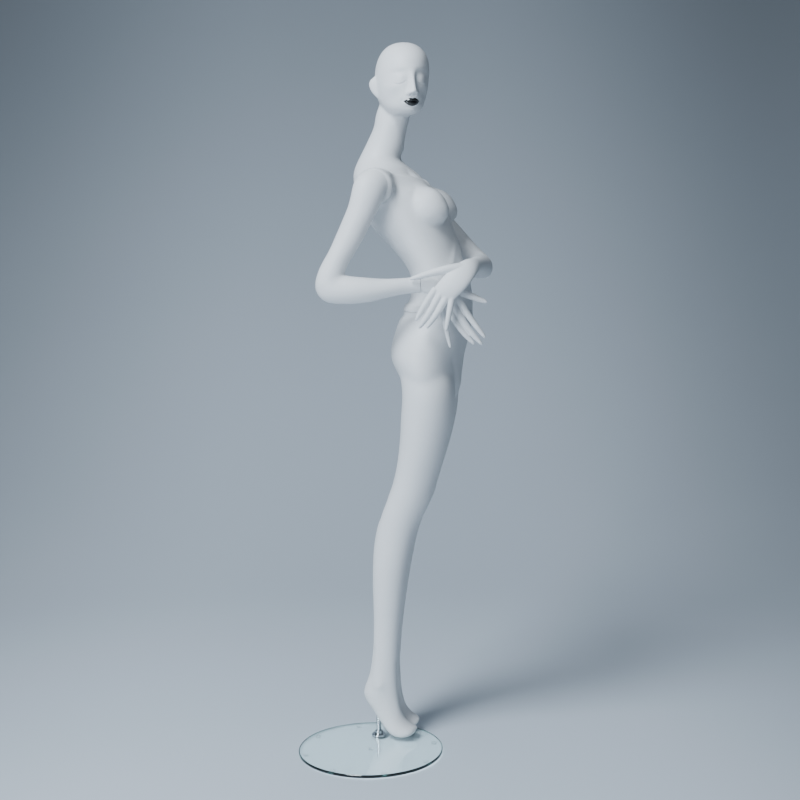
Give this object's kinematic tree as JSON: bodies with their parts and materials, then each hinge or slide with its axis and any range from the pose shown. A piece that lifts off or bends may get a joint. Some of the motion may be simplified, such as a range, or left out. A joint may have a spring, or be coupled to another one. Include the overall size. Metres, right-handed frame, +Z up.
{
  "type": "full body mannequin",
  "caption": "Full body display mannequin on a round glass base with a foot rod; hollow shells part at the waist, left hip, shoulders and wrists.",
  "frame": {"origin": "centre of the base disc on the floor plane, on the underside of the middle bumper", "axes": "+Z up; the figure faces -Y with its left side towards +X"},
  "size_m": [0.5195, 0.5084, 1.8414],
  "materials": {
    "white_shell": "matt white sprayed lacquer over glass-fibre, lips brushed in gloss black",
    "clear_glass": "clear float glass with a ground and polished green edge",
    "chrome": "polished chrome plate",
    "bumper_rubber": "clear soft bumper",
    "gasket_rubber": "black rubber sheet",
    "nylon": "natural nylon",
    "board_wood": "plain birch plywood",
    "steel_plate": "brushed and zinc plated steel plate",
    "zinc_screw": "bright zinc plated screw",
    "dark_steel": "black oxide socket screw"
  },
  "bodies": {
    "base": {"glass_disc": "clear_glass", "hole_bush": "nylon", "base_bumpers": "bumper_rubber", "bolt_washer": "steel_plate", "clamp_bolt": "zinc_screw", "flange_gasket": "gasket_rubber", "rod_flange": "chrome", "foot_rod": "chrome"},
    "liner": {"socket_liner": "nylon"},
    "figure": {"lower_body_shell": "white_shell", "foot_socket": "steel_plate", "thrust_plug": "steel_plate", "hip_board": "board_wood", "hip_socket_plate": "steel_plate", "hip_socket_screws": "zinc_screw", "waist_board": "board_wood", "waist_peg_plate": "steel_plate", "waist_peg_screws": "zinc_screw"},
    "set_screw": {"set_screw": "dark_steel"},
    "left_leg": {"left_leg_shell": "white_shell", "left_leg_board": "board_wood", "left_leg_stud_plate": "steel_plate", "left_leg_stud_screws": "zinc_screw"},
    "torso": {"torso_shell": "white_shell", "torso_board": "board_wood", "waist_socket_plate": "steel_plate", "waist_socket_screws": "zinc_screw", "right_shoulder_board": "board_wood", "right_shoulder_socket_plate": "steel_plate", "right_shoulder_socket_screws": "zinc_screw", "left_shoulder_board": "board_wood", "left_shoulder_socket_plate": "steel_plate", "left_shoulder_socket_screws": "zinc_screw"},
    "right_arm": {"right_arm_shell": "white_shell", "right_arm_board": "board_wood", "right_arm_stud_plate": "steel_plate", "right_arm_stud_screws": "zinc_screw", "right_wrist_board": "board_wood", "right_wrist_socket": "nylon"},
    "right_hand": {"right_hand": "white_shell", "right_hand_peg": "steel_plate"},
    "left_arm": {"left_arm_shell": "white_shell", "left_arm_board": "board_wood", "left_arm_stud_plate": "steel_plate", "left_arm_stud_screws": "zinc_screw", "left_wrist_board": "board_wood", "left_wrist_socket": "nylon"},
    "left_hand": {"left_hand": "white_shell", "left_hand_peg": "steel_plate"}
  },
  "joints": [
    {"name": "figure_lift", "type": "slide", "parent": "base", "child": "liner", "axis": [0, 0, 1], "range_m": [0, 0.1]},
    {"name": "figure_turn", "type": "hinge", "parent": "liner", "child": "figure", "pos_m": [0.09, -0.004, 0.1], "axis": [0, 0, 1], "continuous": true},
    {"name": "set_screw_turn", "type": "hinge", "parent": "figure", "child": "set_screw", "pos_m": [0.09, 0.01, 0.1128], "axis": [0, 1, 0], "continuous": true},
    {"name": "left_leg_unhook", "type": "slide", "parent": "figure", "child": "left_leg", "axis": [0.6947, 0, 0.7193], "range_m": [0, 0.01]},
    {"name": "torso_lift", "type": "slide", "parent": "figure", "child": "torso", "axis": [0, 0, 1], "range_m": [0, 0.055]},
    {"name": "right_arm_unhook", "type": "slide", "parent": "torso", "child": "right_arm", "axis": [0, 0, 1], "range_m": [0, 0.01]},
    {"name": "left_arm_unhook", "type": "slide", "parent": "torso", "child": "left_arm", "axis": [0, 0, 1], "range_m": [0, 0.01]},
    {"name": "right_hand_pull", "type": "slide", "parent": "right_arm", "child": "right_hand", "axis": [0, -1, 0], "range_m": [0, 0.018]},
    {"name": "left_hand_pull", "type": "slide", "parent": "left_arm", "child": "left_hand", "axis": [-1, 0, 0], "range_m": [0, 0.018]}
  ]
}
